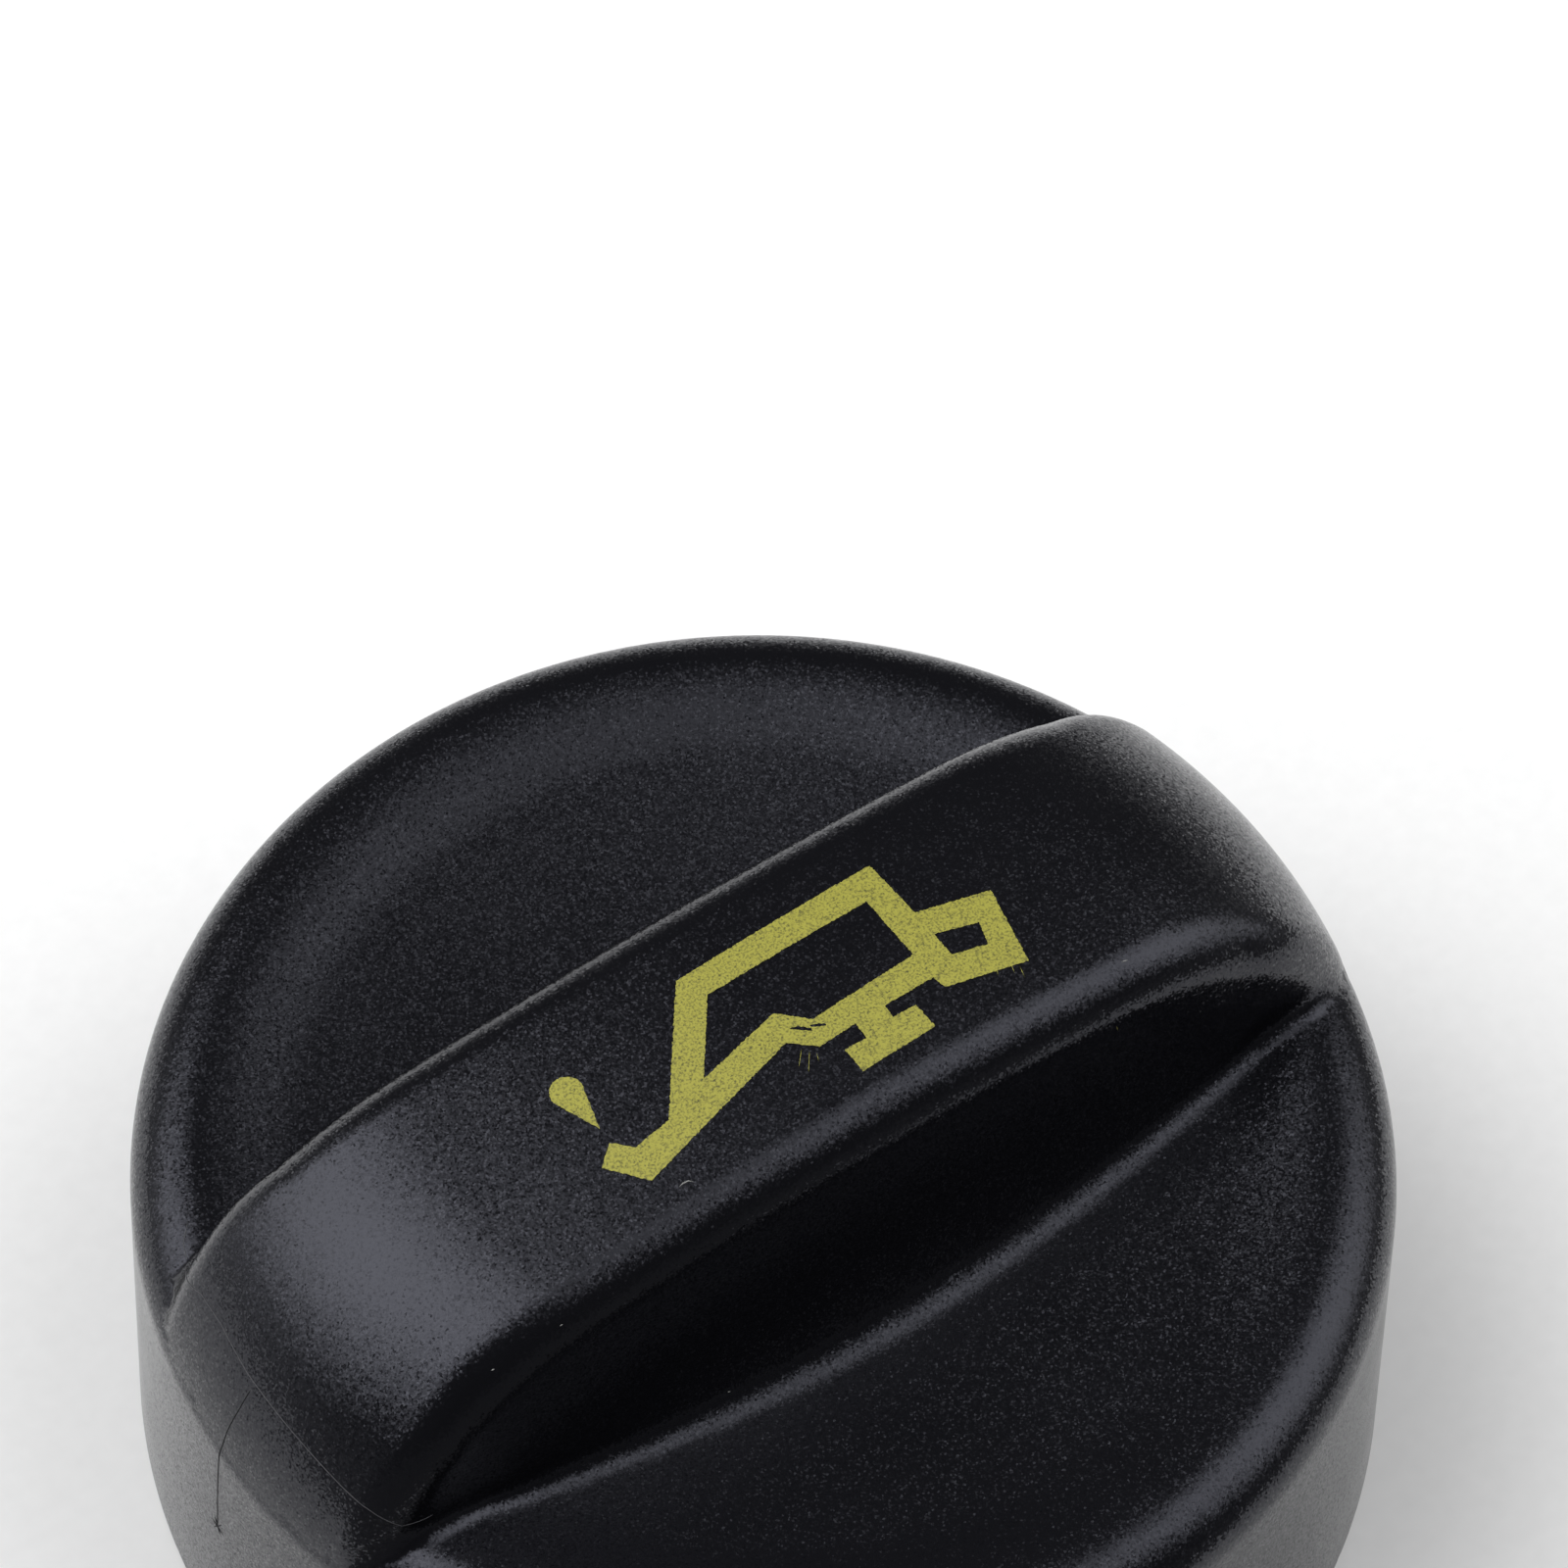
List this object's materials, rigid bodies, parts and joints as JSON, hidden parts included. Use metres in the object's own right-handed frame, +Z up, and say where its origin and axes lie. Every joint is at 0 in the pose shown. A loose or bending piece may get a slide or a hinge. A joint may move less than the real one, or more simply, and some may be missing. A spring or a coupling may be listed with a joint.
{
  "type": "oil filler cap",
  "caption": "Black moulded twist cap for an engine's oil filler, with a grip bar, a printed oil can sign, a bayonet plug and a rubber seal ring.",
  "frame": {"origin": "middle of the plane that the skirt's foot stands on", "axes": "+Z up along the cap's axis, away from the plug; the grip bar lies along X"},
  "size_m": [0.0606, 0.0606, 0.031],
  "materials": {
    "moulded_plastic": "satin, finely grained",
    "seal_rubber": "matte"
  },
  "bodies": {
    "root": {"cap_body": "moulded_plastic", "seal_ring": "seal_rubber"}
  },
  "joints": []
}
